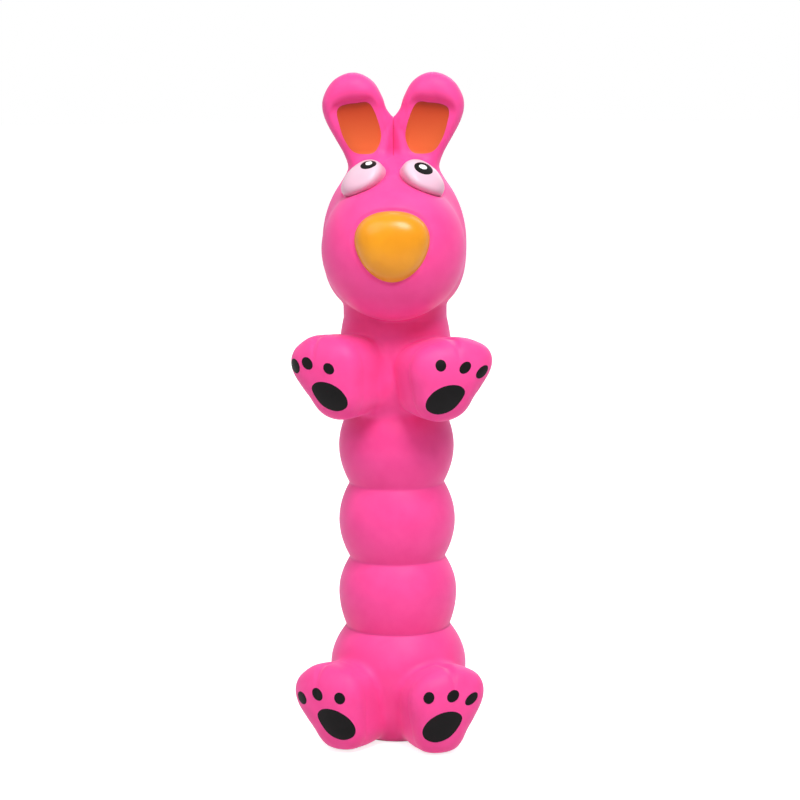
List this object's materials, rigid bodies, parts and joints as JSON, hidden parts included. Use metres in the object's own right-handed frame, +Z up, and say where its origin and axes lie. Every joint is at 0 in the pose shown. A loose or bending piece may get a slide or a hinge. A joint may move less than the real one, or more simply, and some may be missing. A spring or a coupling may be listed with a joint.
{
  "type": "squeaky dog toy",
  "caption": "Upright latex squeaky dog toy: ringed body, round-muzzled head, lobed ears and stub paws, with a squeaker in its flat base.",
  "frame": {"origin": "on the floor, at the middle of the box that the standing toy fills", "axes": "+Z up along the body, the toy faces -Y, +X is its own left side"},
  "size_m": [0.0598, 0.0572, 0.2],
  "materials": {
    "pink_latex": "satin moulded latex, matt where it is handled",
    "fold_latex": "the same latex in the bottom of a fold",
    "nose_paint": "yellow-orange flexible paint, semi-gloss",
    "ear_paint": "orange flexible paint, satin",
    "eye_paint": "pale pink-white flexible paint, satin",
    "black_paint": "black flexible paint, semi-gloss",
    "white_paint": "white flexible paint, semi-gloss",
    "fibre_fill": "white polyester fibre, matt",
    "squeaker_plastic": "off-white moulded plastic",
    "reed_plastic": "thin translucent plastic strip"
  },
  "bodies": {
    "hip": {"hip_skin": "pink_latex", "hip_fill": "fibre_fill", "squeaker_housing": "squeaker_plastic", "squeaker_reed_plate": "squeaker_plastic", "squeaker_cap": "squeaker_plastic"},
    "reed": {"squeaker_reed": "reed_plastic"},
    "leg_left": {"leg_skin_left": "pink_latex", "leg_fold_left": "fold_latex", "leg_pad_left": "black_paint", "leg_toe_spot_left_1": "black_paint", "leg_toe_spot_left_2": "black_paint", "leg_toe_spot_left_3": "black_paint"},
    "leg_right": {"leg_skin_right": "pink_latex", "leg_fold_right": "fold_latex", "leg_pad_right": "black_paint", "leg_toe_spot_right_1": "black_paint", "leg_toe_spot_right_2": "black_paint", "leg_toe_spot_right_3": "black_paint"},
    "arm_left": {"arm_skin_left": "pink_latex", "arm_fold_left": "fold_latex", "arm_pad_left": "black_paint", "arm_toe_spot_left_1": "black_paint", "arm_toe_spot_left_2": "black_paint", "arm_toe_spot_left_3": "black_paint"},
    "arm_right": {"arm_skin_right": "pink_latex", "arm_fold_right": "fold_latex", "arm_pad_right": "black_paint", "arm_toe_spot_right_1": "black_paint", "arm_toe_spot_right_2": "black_paint", "arm_toe_spot_right_3": "black_paint"},
    "hip_fold": {"hip_fold_ring": "fold_latex"},
    "low_belly": {"low_belly_skin": "pink_latex", "low_belly_fill": "fibre_fill"},
    "low_belly_fold": {"low_belly_fold_ring": "fold_latex"},
    "mid_belly": {"mid_belly_skin": "pink_latex", "mid_belly_fill": "fibre_fill"},
    "mid_belly_fold": {"mid_belly_fold_ring": "fold_latex"},
    "top_belly": {"top_belly_skin": "pink_latex", "top_belly_fill": "fibre_fill"},
    "top_belly_fold": {"top_belly_fold_ring": "fold_latex"},
    "chest": {"chest_skin": "pink_latex", "chest_fill": "fibre_fill"},
    "neck_fold": {"neck_fold_ring": "fold_latex"},
    "head": {"head_skin": "pink_latex", "head_fill": "fibre_fill", "nose": "nose_paint", "eye_left": "eye_paint", "eye_right": "eye_paint", "pupil_left": "black_paint", "pupil_right": "black_paint", "glint_left": "white_paint", "glint_right": "white_paint"},
    "ear_left": {"ear_skin_left": "pink_latex", "ear_fold_left": "fold_latex", "ear_lining_left": "ear_paint"},
    "ear_right": {"ear_skin_right": "pink_latex", "ear_fold_right": "fold_latex", "ear_lining_right": "ear_paint"}
  },
  "joints": [
    {"name": "hip_bend", "type": "hinge", "parent": "hip", "child": "hip_fold", "pos_m": [0, 0.0081, 0.0335], "axis": [1, 0, 0], "range_deg": [-8, 8], "stiffness_Nm_per_rad": 0.8, "deforming": ["hip_fold_ring"]},
    {"name": "hip_sway", "type": "hinge", "parent": "hip_fold", "child": "low_belly", "pos_m": [0, 0.0081, 0.0335], "axis": [0, 1, 0], "range_deg": [-8, 8], "stiffness_Nm_per_rad": 0.8},
    {"name": "low_belly_bend", "type": "hinge", "parent": "low_belly", "child": "low_belly_fold", "pos_m": [0, 0.0081, 0.0547], "axis": [1, 0, 0], "range_deg": [-8, 8], "stiffness_Nm_per_rad": 0.8, "deforming": ["low_belly_fold_ring"]},
    {"name": "low_belly_sway", "type": "hinge", "parent": "low_belly_fold", "child": "mid_belly", "pos_m": [0, 0.0081, 0.0547], "axis": [0, 1, 0], "range_deg": [-8, 8], "stiffness_Nm_per_rad": 0.8},
    {"name": "mid_belly_bend", "type": "hinge", "parent": "mid_belly", "child": "mid_belly_fold", "pos_m": [0, 0.0081, 0.0775], "axis": [1, 0, 0], "range_deg": [-8, 8], "stiffness_Nm_per_rad": 0.8, "deforming": ["mid_belly_fold_ring"]},
    {"name": "mid_belly_sway", "type": "hinge", "parent": "mid_belly_fold", "child": "top_belly", "pos_m": [0, 0.0081, 0.0775], "axis": [0, 1, 0], "range_deg": [-8, 8], "stiffness_Nm_per_rad": 0.8},
    {"name": "top_belly_bend", "type": "hinge", "parent": "top_belly", "child": "top_belly_fold", "pos_m": [0, 0.0081, 0.1], "axis": [1, 0, 0], "range_deg": [-8, 8], "stiffness_Nm_per_rad": 0.8, "deforming": ["top_belly_fold_ring"]},
    {"name": "top_belly_sway", "type": "hinge", "parent": "top_belly_fold", "child": "chest", "pos_m": [0, 0.0081, 0.1], "axis": [0, 1, 0], "range_deg": [-8, 8], "stiffness_Nm_per_rad": 0.8},
    {"name": "neck_nod", "type": "hinge", "parent": "chest", "child": "neck_fold", "pos_m": [0, 0.0081, 0.1275], "axis": [1, 0, 0], "range_deg": [-10, 7], "stiffness_Nm_per_rad": 0.6, "deforming": ["neck_fold_ring"]},
    {"name": "neck_turn", "type": "hinge", "parent": "neck_fold", "child": "head", "pos_m": [0, 0.0081, 0.1275], "axis": [0, 0, 1], "range_deg": [-10, 10], "stiffness_Nm_per_rad": 0.5},
    {"name": "ear_left_flex", "type": "hinge", "parent": "head", "child": "ear_left", "pos_m": [0, 0.0081, 0.1737], "axis": [1, 0, 0], "range_deg": [-15, 15], "stiffness_Nm_per_rad": 0.03, "deforming": ["ear_fold_left"]},
    {"name": "ear_right_flex", "type": "hinge", "parent": "head", "child": "ear_right", "pos_m": [0, 0.0081, 0.1737], "axis": [1, 0, 0], "range_deg": [-15, 15], "stiffness_Nm_per_rad": 0.03, "deforming": ["ear_fold_right"]},
    {"name": "arm_left_spread", "type": "hinge", "parent": "chest", "child": "arm_left", "pos_m": [0.01151, -0.00664, 0.1119], "axis": [0, 0, 1], "range_deg": [-6, 6], "stiffness_Nm_per_rad": 0.06, "deforming": ["arm_fold_left"]},
    {"name": "arm_right_spread", "type": "hinge", "parent": "chest", "child": "arm_right", "pos_m": [-0.01151, -0.00664, 0.1119], "axis": [0, 0, -1], "range_deg": [-6, 6], "stiffness_Nm_per_rad": 0.06, "deforming": ["arm_fold_right"]},
    {"name": "leg_left_spread", "type": "hinge", "parent": "hip", "child": "leg_left", "pos_m": [0.01348, -0.00916, 0.0124], "axis": [0, 0, 1], "range_deg": [-6, 6], "stiffness_Nm_per_rad": 0.06, "deforming": ["leg_fold_left"]},
    {"name": "leg_right_spread", "type": "hinge", "parent": "hip", "child": "leg_right", "pos_m": [-0.01348, -0.00916, 0.0124], "axis": [0, 0, -1], "range_deg": [-6, 6], "stiffness_Nm_per_rad": 0.06, "deforming": ["leg_fold_right"]},
    {"name": "reed_lift", "type": "hinge", "parent": "hip", "child": "reed", "pos_m": [-0.005, 0.0081, 0.0055], "axis": [0, -1, 0], "range_deg": [0, 6], "stiffness_Nm_per_rad": 0.002}
  ]
}
